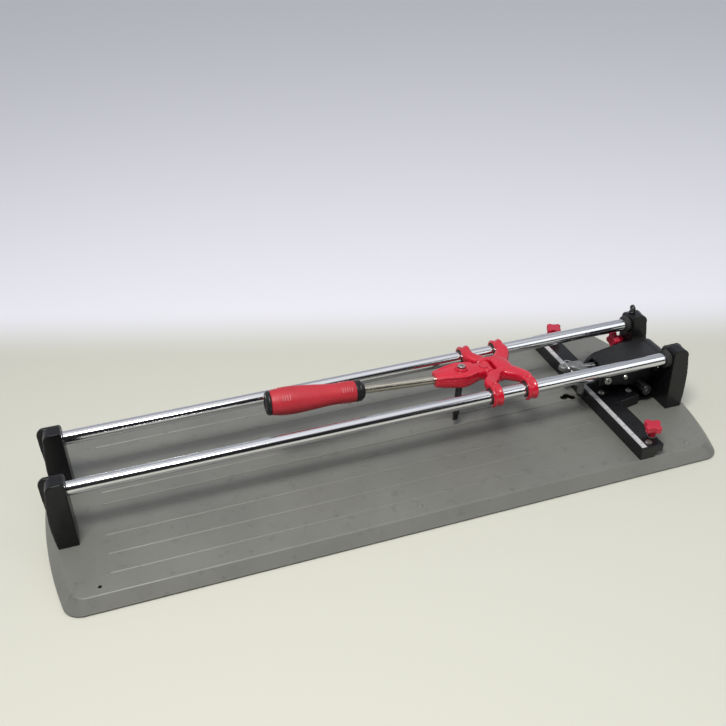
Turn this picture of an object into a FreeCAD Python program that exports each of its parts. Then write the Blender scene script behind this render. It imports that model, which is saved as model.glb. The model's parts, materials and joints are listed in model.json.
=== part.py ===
import FreeCAD, Part
import math
import os
from FreeCAD import Placement, Rotation, Vector

# Manual tile cutter: a pressed steel base, two chromed rails on four cast uprights,
# a sliding carriage with a scoring lever, and a lever-type breaker with a T-shaped fence.
# Millimetres. +X runs along the rails towards the breaker, +Y to the rear, +Z up.
# The origin is the centre of the base, on the surface that the feet stand on.

# ---- driving dimensions -------------------------------------------------------------
BASE_HALF_LENGTH = 442.5
BASE_HALF_WIDTH = 164.5
BASE_LEFT_RADIUS = 692.0
BASE_RIGHT_RADIUS = 440.0
BASE_CORNER_RADIUS = 24.0
SKIRT_BOTTOM = 2.0
PLATE_TOP = 16.0
SKIRT_FLARE = 12.5
SHEET = 1.6

RAIL_SPACING = 100.0
RAIL_HEIGHT = 91.5
RAIL_RADIUS = 8.75
LEFT_FACE = -401.5
RIGHT_FACE = 395.0
RAIL_SOCKET_DEPTH = 14.0

UPRIGHT_TOP = 109.0
UPRIGHT_HALF_WIDTH = 15.0
FLANGE_TOP = 103.0
UPRIGHT_FOOT = 24.5

CARRIAGE_X = 161.0
CLAW_OFFSET = 24.5
CLAW_WIDTH = 14.0
CLAW_RADIUS = 15.5
LINER_RADIUS = 10.5

PIVOT_X = 147.5
PIVOT_Z = 97.0
LEVER_TILT = 4.4
LEVER_AXIS_DROP = 3.6
TOOL_OFFSET = 38.0

FENCE_LEFT = 299.5
FENCE_RIGHT = 332.5
FENCE_HALF_LENGTH = 151.5
FENCE_TOP = 34.0
STEM_END = 367.0
STEM_TOP = 32.0
CLAMP_X = 326.5
FRONT_CLAMP_Y = -131.0
REAR_CLAMP_Y = 136.0

AXLE_X = 377.0
AXLE_Z = 38.0
AXLE_RADIUS = 5.0
FOOT_PIN_X = 322.0
FOOT_PIN_Z = 56.0

RUNNING = 0.06      # radial clearance of everything that turns or slides
SEATED = 0.02       # radial clearance of everything that is fixed in its hole

X = Vector(1, 0, 0)
Y = Vector(0, 1, 0)
Z = Vector(0, 0, 1)
HALF_SPACING = RAIL_SPACING / 2.0
SHEET_BOTTOM = PLATE_TOP - SHEET


# ---- helpers ------------------------------------------------------------------------
def box(x, y, z):
    """A block between two limits on each axis."""
    return Part.makeBox(x[1] - x[0], y[1] - y[0], z[1] - z[0], Vector(x[0], y[0], z[0]))


def rod(start, direction, radius, length):
    return Part.makeCylinder(radius, length, Vector(*start), direction)


def ring(start, direction, outer, inner, length):
    return rod(start, direction, outer, length).cut(rod(start, direction, inner, length))


def join(shapes):
    return shapes[0].multiFuse(shapes[1:]).removeSplitter()


def outline(start, steps, place):
    """A closed wire. A step is a point, or a pair of points (through, to) for an arc."""
    edges = []
    here = start
    for step in steps:
        if isinstance(step[0], tuple):
            through, there = step
            edges.append(Part.Arc(place(*here), place(*through), place(*there)).toShape())
        else:
            there = step
            edges.append(Part.LineSegment(place(*here), place(*there)).toShape())
        here = there
    if here != start:
        edges.append(Part.LineSegment(place(*here), place(*start)).toShape())
    return Part.Wire(edges)


def slab_xz(start, steps, y):
    """An XZ outline made solid between two Y limits."""
    wire = outline(start, steps, lambda u, v: Vector(u, y[0], v))
    return Part.Face(wire).extrude(Vector(0, y[1] - y[0], 0))


def slab_xy(start, steps, z):
    """An XY outline made solid between two Z limits."""
    wire = outline(start, steps, lambda u, v: Vector(u, v, z[0]))
    return Part.Face(wire).extrude(Vector(0, 0, z[1] - z[0]))


def mirror_y(shape):
    return shape.mirror(Vector(0, 0, 0), Y)


def both_sides(shape):
    """The shape and its mirror image across the XZ plane, as separate solids."""
    return [shape, mirror_y(shape)]


def soften(shape, radius, wanted):
    """Rounds the edges that the test function picks."""
    return shape.makeFillet(radius, [edge for edge in shape.Edges if wanted(edge)])


def hexagon(centre, direction, across, length):
    corner = across / math.sqrt(3.0)
    points = [
        Vector(corner * math.cos(math.radians(60 * i)), corner * math.sin(math.radians(60 * i)), 0)
        for i in range(7)
    ]
    solid = Part.Face(Part.makePolygon(points)).extrude(Vector(0, 0, length))
    solid.Placement = Placement(Vector(*centre), Rotation(Z, direction))
    return solid


def pan_screw(top, shank, head_radius, head_height, length, drive):
    """A round-headed screw, head up, with a cross recess. top is the seat of its head."""
    x, y, z = top
    head = Part.makeCone(head_radius, head_radius * 0.72, head_height, Vector(x, y, z), Z)
    body = join([head, rod((x, y, z - length), Z, shank, length + head_height * 0.5)])
    arm, width = drive
    low = z + head_height * 0.4
    slot_a = box((x - arm, x + arm), (y - width, y + width), (low, z + head_height + 1))
    slot_b = box((x - width, x + width), (y - arm, y + arm), (low, z + head_height + 1))
    return body.cut(slot_a).cut(slot_b)


# ---- base ---------------------------------------------------------------------------
def base_corner(end_radius, inset):
    """One end of the base's outline: its tip, and its corner's meeting, bending and leaving points."""
    half_length = BASE_HALF_LENGTH - inset
    half_width = BASE_HALF_WIDTH - inset
    end = end_radius - inset
    corner = BASE_CORNER_RADIUS - inset * 0.5
    end_x = half_length - end
    side = half_width - corner
    corner_x = end_x + math.sqrt((end - corner) ** 2 - side ** 2)
    turn = math.atan2(side, corner_x - end_x)
    half_turn = (turn + math.pi / 2.0) / 2.0
    tip = (half_length, 0.0)
    meet = (end_x + end * math.cos(turn), end * math.sin(turn))
    bend = (corner_x + corner * math.cos(half_turn), side + corner * math.sin(half_turn))
    straight = (corner_x, half_width)
    return tip, meet, bend, straight


def base_outline(inset, z):
    """Long straight sides, bowed ends and rounded corners, drawn inset from the base's edge."""
    def flip(point, sx, sy):
        return (point[0] * sx, point[1] * sy)

    tip, meet, bend, straight = base_corner(BASE_RIGHT_RADIUS, inset)
    steps = [
        straight,
        (bend, meet),
        (tip, flip(meet, 1, -1)),
        (flip(bend, 1, -1), flip(straight, 1, -1)),
    ]
    tip, meet, bend, straight = base_corner(BASE_LEFT_RADIUS, inset)
    steps += [
        flip(straight, -1, -1),
        (flip(bend, -1, -1), flip(meet, -1, -1)),
        (flip(tip, -1, 1), flip(meet, -1, 1)),
        (flip(bend, -1, 1), flip(straight, -1, 1)),
    ]
    return outline(flip(straight, -1, 1), steps, lambda u, v: Vector(u, v, z))


RIB_ROWS = (24.0, 57.0, 90.0, 122.0)
RIB_LEFT = -370.5
RIB_RIGHT = 283.0
RIB_RADIUS = 2.4
RIB_RISE = 1.0
RIDGE_RADIUS = 2.0
RIDGE_RISE = 1.5

FOOT_SPOTS = [(x, y) for x in (-384.0, 378.0) for y in (-140.0, 140.0)] + [(0.0, -136.0), (0.0, 136.0)]
EMPTY_FOOT_HOLE = (-384.0, -140.0)
FOOT_RADIUS = 9.6
RIVET_RADIUS = 2.4
DRAIN_RADIUS = 5.4
DRAIN_LOBES = ((277.0, 8.5), (283.5, 11.5), (288.0, 5.5))
FENCE_SCREWS = [(318.0, 21.5), (318.0, -21.5), (358.5, 27.0), (358.5, -27.0), (315.5, 141.5), (315.5, -141.5)]
FENCE_SCREW_RADIUS = 2.5
BRACKET_SCREWS = [(388.0, 27.0), (388.0, -27.0)]
UPRIGHT_BOLT_INSET = 9.0
BOLT_SHIFT = 6.5
END_SCREW_RADIUS = 3.0
END_SCREW_HEAD = 5.2
END_SCREW_SEAT = 19.5       # how far out of the upright's inner face the screw's head seats
END_SCREW_REACH = 10.0      # how far it reaches into the rail
WING_INSET = 6.0
WING_SHANK = 3.0
LOCK_Y = 57.0
LOCK_Z = 63.0
LOCK_DEPTH = 8.0            # how deep the lock knob's stud sits in the right rear upright
LOCK_SEAT_X = RIGHT_FACE - 0.8
UPRIGHT_BOLT_RADIUS = 3.0


def pressed_rib(y, radius, rise):
    """A round-topped rib that stands a little out of the plate."""
    z = PLATE_TOP + rise - radius
    shape = rod((RIB_LEFT, y, z), X, radius, RIB_RIGHT - RIB_LEFT)
    ends = [Part.makeSphere(radius, Vector(x, y, z)) for x in (RIB_LEFT, RIB_RIGHT)]
    return join([shape] + ends)


def upright_bolt_spots():
    spots = []
    for face, side in ((LEFT_FACE, -1), (RIGHT_FACE, 1)):
        for row in (-1, 1):
            for shift in (-BOLT_SHIFT, BOLT_SHIFT):
                spots.append((face + side * UPRIGHT_BOLT_INSET, row * HALF_SPACING + shift))
    return spots


def make_base_plate():
    skirt = Part.makeLoft([base_outline(0, SKIRT_BOTTOM), base_outline(SKIRT_FLARE, PLATE_TOP)], True, True)
    top_edges = [edge for edge in skirt.Edges if edge.BoundBox.ZMin > PLATE_TOP - 0.01]
    skirt = skirt.makeFillet(3.0, top_edges)
    inside = Part.makeLoft(
        [base_outline(SHEET * 0.55, SKIRT_BOTTOM - 1.0), base_outline(SKIRT_FLARE + SHEET * 1.2, SHEET_BOTTOM)],
        True, True)
    plate = skirt.cut(inside)
    ribs = [pressed_rib(side * y, RIB_RADIUS, RIB_RISE) for y in RIB_ROWS for side in (-1, 1)]
    ribs.append(pressed_rib(0.0, RIDGE_RADIUS, RIDGE_RISE))
    plate = plate.multiFuse(ribs)
    drill = [rod((x, y, 0), Z, RIVET_RADIUS + SEATED, 20) for x, y in FOOT_SPOTS]
    drill += [rod((x, y, 5), Z, FENCE_SCREW_RADIUS + SEATED, 20) for x, y in FENCE_SCREWS + BRACKET_SCREWS]
    drill += [rod((x, y, 5), Z, UPRIGHT_BOLT_RADIUS + SEATED, 20) for x, y in upright_bolt_spots()]
    drain = [rod((x, y, 5), Z, DRAIN_RADIUS, 20) for x, y in DRAIN_LOBES]
    return plate.cut(drill + drain)


def make_base_feet():
    feet = []
    for x, y in FOOT_SPOTS:
        body = Part.makeCone(FOOT_RADIUS - 1.2, FOOT_RADIUS, SHEET_BOTTOM, Vector(x, y, 0), Z)
        feet.append(body.cut(rod((x, y, 3), Z, RIVET_RADIUS + SEATED, 20)))
    return feet


def make_foot_rivets():
    rivets = []
    for x, y in FOOT_SPOTS:
        if (x, y) == EMPTY_FOOT_HOLE:
            continue
        head = Part.makeCone(3.8, 2.6, 1.0, Vector(x, y, PLATE_TOP), Z)
        rivets.append(join([head, rod((x, y, 4), Z, RIVET_RADIUS, PLATE_TOP - 4)]))
    return rivets


# ---- uprights and rails -------------------------------------------------------------
def upright_profile(side, face, top, bulge, y):
    """One wall of an upright: upright inside, bowed outside, rounded at the top outer corner."""
    def place(out, z):
        return (face + side * out, z)

    shoulder = 23.0 + bulge
    steps = [
        place(UPRIGHT_FOOT, PLATE_TOP),
        (place(UPRIGHT_FOOT + 2.5 + 0.35 * bulge, 58.0), place(shoulder, top - 13.0)),
        (place(shoulder - 2.4, top - 3.4), place(shoulder - 8.0, top)),
        place(4.0, top),
        (place(1.2, top - 1.2), place(0.0, top - 4.0)),
    ]
    return slab_xz(place(0.0, PLATE_TOP), steps, y)


def make_upright(side, row):
    """A tall front wall that holds the rail, a narrow web, and a lower bowed flange behind."""
    face = LEFT_FACE if side < 0 else RIGHT_FACE
    middle = row * HALF_SPACING
    front = middle - UPRIGHT_HALF_WIDTH
    back = middle + UPRIGHT_HALF_WIDTH
    wall = upright_profile(side, face, UPRIGHT_TOP, 0.0, (front, middle + 4.0))
    web = upright_profile(side, face, UPRIGHT_TOP - 5.0, -6.0, (middle + 3.5, back - 4.5))
    flange = upright_profile(side, face, FLANGE_TOP, 8.0, (back - 5.0, back))
    shape = join([wall, web, flange])
    start = face - side * 1.0
    cuts = [
        rod((start, middle, RAIL_HEIGHT), X * side, RAIL_RADIUS + SEATED, RAIL_SOCKET_DEPTH + 1.0),
        rod((start, middle, RAIL_HEIGHT), X * side, END_SCREW_RADIUS + SEATED, 40.0),
        rod((face + side * END_SCREW_SEAT, middle, RAIL_HEIGHT), X * side, END_SCREW_HEAD + 0.3, 20.0),
    ]
    if side > 0 and row > 0:
        cuts.append(rod((face - 1.0, LOCK_Y, LOCK_Z), X, STUD_RADIUS + SEATED, LOCK_DEPTH + 1.2))
        cuts.append(rod((face + WING_INSET, middle, RAIL_HEIGHT), Z, WING_SHANK + SEATED, 30))
    for shift in (-BOLT_SHIFT, BOLT_SHIFT):
        hole = (face + side * UPRIGHT_BOLT_INSET, middle + shift, PLATE_TOP - 1)
        cuts.append(rod(hole, Z, UPRIGHT_BOLT_RADIUS + SEATED, 16))
    return shape.cut(cuts)


def make_upright_bolts():
    bolts = []
    for x, y in upright_bolt_spots():
        head = hexagon((x, y, SHEET_BOTTOM - 4.0), Z, 10.0, 4.0)
        bolts.append(join([head, rod((x, y, SHEET_BOTTOM - 1), Z, UPRIGHT_BOLT_RADIUS, 15)]))
    return bolts


def rail_ends(row):
    """The two ends of a rail as (x, outward direction, has an end screw)."""
    inset = RAIL_SOCKET_DEPTH - 0.3
    return [(LEFT_FACE - inset, -1, True), (RIGHT_FACE + inset, 1, row < 0)]


def make_rail(row):
    ends = rail_ends(row)
    start, end = ends[0][0], ends[1][0]
    shape = rod((start, row * HALF_SPACING, RAIL_HEIGHT), X, RAIL_RADIUS, end - start)
    shape = shape.makeChamfer(0.8, [e for e in shape.Edges if len(e.Vertexes) == 1])
    for x, side, screwed in ends:
        if screwed:
            inner = (x - side * (END_SCREW_REACH + 0.5), row * HALF_SPACING, RAIL_HEIGHT)
            shape = shape.cut(rod(inner, X * side, END_SCREW_RADIUS + SEATED, END_SCREW_REACH + 5.0))
    return shape


def make_rail_end_screws():
    """Cap screws that pull the rails into their sockets from the outside."""
    screws = []
    for row in (-1, 1):
        for x, side, screwed in rail_ends(row):
            if not screwed:
                continue
            face = LEFT_FACE if side < 0 else RIGHT_FACE
            seat = face + side * END_SCREW_SEAT
            tip = x - side * END_SCREW_REACH
            shank = rod((tip, row * HALF_SPACING, RAIL_HEIGHT), X * side, END_SCREW_RADIUS, abs(seat - tip) + 1.0)
            head = rod((seat, row * HALF_SPACING, RAIL_HEIGHT), X * side, END_SCREW_HEAD, 4.0)
            key = hexagon((seat + side * 1.8, row * HALF_SPACING, RAIL_HEIGHT), X * side, 4.0, 5.0)
            screws.append(join([shank, head]).cut(key))
    return screws


def make_rail_wing_screw():
    """Locks the rear rail in the right upright. Its thin wing stands along Y."""
    x = RIGHT_FACE + WING_INSET
    base = RAIL_HEIGHT + RAIL_RADIUS + 0.05
    shank = rod((x, HALF_SPACING, base), Z, WING_SHANK, UPRIGHT_TOP - base + 1.0)
    collar = rod((x, HALF_SPACING, UPRIGHT_TOP + 0.2), Z, 4.6, 2.6)
    wing = rod((x - 1.4, HALF_SPACING, UPRIGHT_TOP + 7.0), X, 5.4, 2.8)
    hole = rod((x - 3.0, HALF_SPACING, UPRIGHT_TOP + 8.0), X, 2.4, 6.0)
    return join([shank, collar, wing]).cut(hole)


def make_rail_bumpers():
    bumpers = []
    for row in (-1, 1):
        shape = ring((RIGHT_FACE - 6.0, row * HALF_SPACING, RAIL_HEIGHT), X,
                     RAIL_RADIUS + 3.2, RAIL_RADIUS + SEATED, 5.9)
        bumpers.append(shape)
    return bumpers


# ---- fence --------------------------------------------------------------------------
CHANNEL_LEFT = 320.5
CHANNEL_TOP = 23.5
CHANNEL_START = 42.0
SCALE = (301.3, 308.3)
SCALE_HALF_LENGTH = 149.5
SCALE_SINK = 0.6
STUD_RADIUS = 3.0
STUD_GRIP = 12.5            # how far a stud reaches into its knob
KNOB_BORE = 14.0
KNOB_SEAT = FENCE_TOP + 1.4


def make_fence_bar():
    """The T-shaped fence: a cross bar with an open channel under its rear edge, and a stem."""
    bar = box((FENCE_LEFT, FENCE_RIGHT), (-FENCE_HALF_LENGTH, FENCE_HALF_LENGTH), (PLATE_TOP, FENCE_TOP))
    bar = soften(bar, 1.5, lambda e: e.BoundBox.ZMin > FENCE_TOP - 0.01 or e.BoundBox.ZLength > 5)
    stem = slab_xy(
        (FENCE_RIGHT - 4.0, -48.0),
        [(STEM_END, -41.0), (STEM_END, 41.0), (FENCE_RIGHT - 4.0, 48.0)], (PLATE_TOP, STEM_TOP))
    stem = soften(stem, 1.5, lambda e: e.BoundBox.XMin > STEM_END - 0.01 or e.BoundBox.ZMin > STEM_TOP - 0.1)
    shape = join([bar, stem])
    cuts = [
        box((SCALE[0] - 0.1, SCALE[1] + 0.1), (-SCALE_HALF_LENGTH - 0.1, SCALE_HALF_LENGTH + 0.1),
            (FENCE_TOP - SCALE_SINK, FENCE_TOP + 1)),
        box((FENCE_RIGHT + 8.0, STEM_END + 1.0), (-12.5, 12.5), (STEM_TOP - 3.0, STEM_TOP + 1)),
    ]
    for side in (-1, 1):
        y = sorted((side * CHANNEL_START, side * (FENCE_HALF_LENGTH + 1.0)))
        cuts.append(box((CHANNEL_LEFT, FENCE_RIGHT + 0.5), (y[0], y[1]), (PLATE_TOP - 1, CHANNEL_TOP)))
    cuts += [rod((CLAMP_X, y, PLATE_TOP), Z, STUD_RADIUS + SEATED, 30) for y in (FRONT_CLAMP_Y, REAR_CLAMP_Y)]
    cuts += [rod((x, y, PLATE_TOP - 1), Z, FENCE_SCREW_RADIUS + SEATED, 30) for x, y in FENCE_SCREWS]
    return shape.cut(cuts)


def make_scale_strip():
    return box(SCALE, (-SCALE_HALF_LENGTH, SCALE_HALF_LENGTH), (FENCE_TOP - SCALE_SINK, FENCE_TOP + 0.3))


def fence_screw_seat(x):
    """The height that a screw's head rests on: the cross bar or the stem."""
    return FENCE_TOP if x < FENCE_RIGHT else STEM_TOP


def make_fence_screws():
    screws = []
    for x, y in FENCE_SCREWS:
        seat = fence_screw_seat(x)
        screws.append(pan_screw((x, y, seat), FENCE_SCREW_RADIUS, 4.6, 2.2, seat - 8.0, (2.6, 0.5)))
    for x, y in BRACKET_SCREWS:
        screws.append(pan_screw((x, y, 20.0), FENCE_SCREW_RADIUS, 4.2, 2.2, 12.0, (2.4, 0.5)))
    return screws


def make_fence_nuts():
    nuts = []
    for x, y in FENCE_SCREWS + BRACKET_SCREWS:
        nut = hexagon((x, y, SHEET_BOTTOM - 4.0), Z, 8.0, 4.0)
        nuts.append(nut.cut(rod((x, y, 5), Z, FENCE_SCREW_RADIUS + SEATED, 20)))
    return nuts


def make_clamp_nut(y):
    """The nut in the fence's channel, with the stud that its knob screws on."""
    nut = box((CHANNEL_LEFT + 0.6, FENCE_RIGHT - 0.6), (y - 9.0, y + 9.0), (PLATE_TOP + 0.3, CHANNEL_TOP - 0.1))
    start = PLATE_TOP + 2.0
    return join([nut, rod((CLAMP_X, y, start), Z, STUD_RADIUS, KNOB_SEAT + STUD_GRIP - start)])


def make_clamp_washer(y):
    return ring((CLAMP_X, y, FENCE_TOP + 0.05), Z, 5.8, STUD_RADIUS + SEATED, 1.2)


def lobed_knob(start, direction):
    """A four-lobed clamping knob. start is the end of its hub, on its axis."""
    hub = Part.makeCone(5.2, 6.4, 9.5, Vector(0, 0, 0), Z)
    core = rod((0, 0, 9.0), Z, 8.2, 9.0)
    lobes = []
    for i in range(4):
        angle = math.radians(20 + 90 * i)
        lobe = rod((8.2 * math.cos(angle), 8.2 * math.sin(angle), 9.0), Z, 4.6, 9.0)
        lobes.append(lobe.makeFillet(1.6, [e for e in lobe.Edges if len(e.Vertexes) == 1]))
    shape = join([hub, core] + lobes).cut(rod((0, 0, -1), Z, STUD_RADIUS + RUNNING, KNOB_BORE + 1.0))
    shape.Placement = Placement(Vector(*start), Rotation(Z, direction))
    return shape


# ---- breaker ------------------------------------------------------------------------
EAR = (11.2, 17.0)
BRACKET_HALF_WIDTH = 34.8
SLEEVE = (25.0, 44.0)
COVER_OUTER = 24.0
COVER_WALL = 3.0
ARM_HALF = 10.5
LUG = (11.0, 16.0)
COVER_SCREW = (352.0, 54.0)


def make_breaker_bracket():
    wall = box((RIGHT_FACE, RIGHT_FACE + 7.0), (-BRACKET_HALF_WIDTH, BRACKET_HALF_WIDTH), (PLATE_TOP, 60.0))
    floor = box((STEM_END + 0.5, RIGHT_FACE + 7.0), (-BRACKET_HALF_WIDTH, BRACKET_HALF_WIDTH), (PLATE_TOP, 20.0))
    ears = []
    for ear in both_sides(slab_xz(
            (AXLE_X - 9.0, 18.0),
            [(RIGHT_FACE + 2, 18.0), (RIGHT_FACE + 2, 50.0), (AXLE_X, AXLE_Z + 9.5),
             ((AXLE_X - 6.7, AXLE_Z + 6.7), (AXLE_X - 9.5, AXLE_Z))],
            EAR)):
        ears.append(ear)
    shape = join([wall, floor] + ears)
    cuts = [rod((AXLE_X, -60, AXLE_Z), Y, AXLE_RADIUS + SEATED, 120)]
    cuts += [rod((x, y, PLATE_TOP - 1), Z, FENCE_SCREW_RADIUS + SEATED, 10) for x, y in BRACKET_SCREWS]
    return shape.cut(cuts)


def make_breaker_axle():
    axle = rod((AXLE_X, -42.0, AXLE_Z), Y, AXLE_RADIUS, 84.0)
    return axle.makeChamfer(0.6, [e for e in axle.Edges if len(e.Vertexes) == 1])


def make_axle_sleeves():
    sleeve = rod((AXLE_X, SLEEVE[0], AXLE_Z), Y, 7.6, SLEEVE[1] - SLEEVE[0])
    sleeve = sleeve.makeFillet(1.2, [e for e in sleeve.Edges if e.BoundBox.YMin > SLEEVE[1] - 0.1])
    sleeve = sleeve.cut(rod((AXLE_X, 20, AXLE_Z), Y, AXLE_RADIUS + SEATED, 22.05))
    sleeve = sleeve.cut(hexagon((AXLE_X, 40, AXLE_Z), Y, 7.0, 6.0))
    return both_sides(sleeve)


def make_breaker_lever():
    arm = slab_xz(
        (AXLE_X, AXLE_Z - 9.5),
        [(FOOT_PIN_X, FOOT_PIN_Z - 6.5),
         ((FOOT_PIN_X - 6.5, FOOT_PIN_Z), (FOOT_PIN_X, FOOT_PIN_Z + 6.5)),
         (AXLE_X - 20, AXLE_Z + 24.0),
         (AXLE_X, AXLE_Z + 9.5),
         ((AXLE_X + 9.5, AXLE_Z), (AXLE_X, AXLE_Z - 9.5))],
        (-ARM_HALF, ARM_HALF))
    holes = [
        rod((AXLE_X, -30, AXLE_Z), Y, AXLE_RADIUS + RUNNING, 60),
        rod((FOOT_PIN_X, -30, FOOT_PIN_Z), Y, 3.0 + SEATED, 60),
        rod((COVER_SCREW[0], -30, COVER_SCREW[1]), Y, 2.0 + SEATED, 60),
    ]
    return arm.cut(holes)


def cover_profile(inset, lower):
    """The hood's side view, drawn inset from its outer skin."""
    return (
        (311.0 + inset, 47.0 - lower),
        [(311.0 + inset, 57.0 - inset),
         ((318.0 + inset, 68.0 - inset), (334.0, 74.5 - inset)),
         ((368.0, 79.5 - inset), (404.0, 78.5 - inset)),
         ((419.0 - inset, 75.5 - inset), (426.0 - inset, 65.0)),
         (426.0 - inset, 63.5 - lower),
         (394.0, 63.5 - lower),
         (394.0, 38.5 - lower),
         (366.0, 38.5 - lower)],
    )


def make_breaker_cover():
    start, steps = cover_profile(0.0, 0.0)
    skin = slab_xz(start, steps, (-COVER_OUTER, COVER_OUTER))
    start, steps = cover_profile(COVER_WALL, 8.0)
    inner = COVER_OUTER - COVER_WALL
    hollow = slab_xz(start, steps, (-inner, inner))
    mouth = box((300.0, 330.0), (-inner, inner), (40.0, 57.0))
    notch = box((300.0, 321.0), (-17.5, 17.5), (40.0, 70.0))
    wire_slot = box((300.0, 327.0), (1.5, 6.5), (60.0, 68.5))
    shell = skin.cut([hollow, mouth, notch, wire_slot])
    bosses = both_sides(rod((COVER_SCREW[0], ARM_HALF, COVER_SCREW[1]), Y, 5.0, inner + 1.0 - ARM_HALF))
    shell = join([shell] + bosses)
    holes = [
        rod((AXLE_X, -60, AXLE_Z), Y, AXLE_RADIUS + 0.6, 120),
        rod((FOOT_PIN_X, -60, FOOT_PIN_Z), Y, 3.0 + SEATED, 120),
        rod((COVER_SCREW[0], -60, COVER_SCREW[1]), Y, 2.0 + SEATED, 120),
    ]
    return shell.cut(holes)


def make_cover_screws():
    screw = join([
        rod((COVER_SCREW[0], 4.0, COVER_SCREW[1]), Y, 2.0, COVER_OUTER - 4.0),
        Part.makeCone(4.0, 2.8, 1.8, Vector(COVER_SCREW[0], COVER_OUTER, COVER_SCREW[1]), Y),
    ])
    return both_sides(screw)


def make_foot_bolt():
    shank = rod((FOOT_PIN_X, -COVER_OUTER - 0.5, FOOT_PIN_Z), Y, 3.0, 2 * COVER_OUTER + 5.5)
    head = rod((FOOT_PIN_X, -COVER_OUTER - 4.6, FOOT_PIN_Z), Y, 5.4, 4.5)
    head = head.makeFillet(1.0, [e for e in head.Edges if e.BoundBox.YMax < -COVER_OUTER - 4.5])
    key = hexagon((FOOT_PIN_X, -COVER_OUTER - 2.4, FOOT_PIN_Z), Y * -1, 4.0, 5.0)
    return join([head, shank]).cut(key)


def make_foot_nut():
    nut = hexagon((FOOT_PIN_X, COVER_OUTER + 0.1, FOOT_PIN_Z), Y, 10.0, 4.5)
    return nut.cut(rod((FOOT_PIN_X, 20, FOOT_PIN_Z), Y, 3.0 + SEATED, 20))


PRESS_X = 284.5
PRESS_Y = 19.0
PRESS_BOTTOM = 40.0


def make_breaker_foot():
    """A forked presser: two arms, each ending in a leg that bears on one side of the cut."""
    fork = slab_xy(
        (306.0, -23.0),
        [(306.0, 23.0), (300.0, 25.0), (277.0, 25.0), ((272.5, 23.5), (271.0, 19.0)),
         ((272.5, 14.5), (277.0, 12.5)), (286.0, 12.5), ((293.0, 0.0), (286.0, -12.5)),
         (277.0, -12.5), ((272.5, -14.5), (271.0, -19.0)), ((272.5, -23.5), (277.0, -25.0)),
         (300.0, -25.0)],
        (57.5, 64.5))
    fork = soften(fork, 1.8, lambda e: e.BoundBox.ZMin > 64.4 and e.BoundBox.XMax < 304.0)
    lugs = both_sides(slab_xz(
        (303.0, 57.5),
        [(FOOT_PIN_X, FOOT_PIN_Z - 6.5), ((FOOT_PIN_X + 6.5, FOOT_PIN_Z), (FOOT_PIN_X, FOOT_PIN_Z + 6.5)),
         (303.0, 62.5)], LUG))
    legs = both_sides(Part.makeCone(4.4, 5.2, 23.0, Vector(PRESS_X, PRESS_Y, PRESS_BOTTOM), Z))
    shape = join([fork] + lugs + legs)
    return shape.cut(rod((FOOT_PIN_X, -30, FOOT_PIN_Z), Y, 3.0 + RUNNING, 60))


def make_presser_pads():
    pad = Part.makeCone(4.6, 5.4, 3.0, Vector(PRESS_X, PRESS_Y, PRESS_BOTTOM - 3.0), Z)
    return both_sides(pad)


def make_return_spring():
    """A bent wire bail: out of the hood's nose, up, across, and down to a small bead."""
    points = [
        Vector(330.0, 4.0, 64.7), Vector(312.0, 4.0, 65.7), Vector(299.5, 4.0, 67.6),
        Vector(287.5, 4.0, 74.0), Vector(269.5, 4.0, 83.4),
    ]
    radius = 0.8
    pieces = []
    path = points + [Vector(265.8, 1.0, 84.0), Vector(266.6, -12.0, 80.6)]
    for a, b in zip(path[:-1], path[1:]):
        pieces.append(Part.makeCylinder(radius, (b - a).Length, a, b - a))
        pieces.append(Part.makeSphere(radius, b))
    pieces.append(Part.makeSphere(1.9, path[-1]))
    return join(pieces)


# ---- carriage -----------------------------------------------------------------------
CLAW_XS = (CARRIAGE_X - CLAW_OFFSET, CARRIAGE_X + CLAW_OFFSET)
CHEEK = (12.0, 20.0)
PIN_RADIUS = 4.0
CLIP_RADIUS = 6.0


def claw_gap(y_side):
    """The opening at the lower inner side of each claw."""
    ends = sorted((y_side * (HALF_SPACING - 22.0), y_side * (HALF_SPACING - 4.5)))
    return box((CARRIAGE_X - 60, CARRIAGE_X + 60), (ends[0], ends[1]), (60.0, RAIL_HEIGHT - 6.0))


def make_claw(x, row):
    shape = ring((x - CLAW_WIDTH / 2, row * HALF_SPACING, RAIL_HEIGHT), X, CLAW_RADIUS,
                 LINER_RADIUS + SEATED, CLAW_WIDTH)
    shape = soften(shape, 1.5, lambda e: len(e.Vertexes) == 1 and e.BoundBox.ZLength > 2 * CLAW_RADIUS - 1)
    return shape.cut(claw_gap(row))


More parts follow.
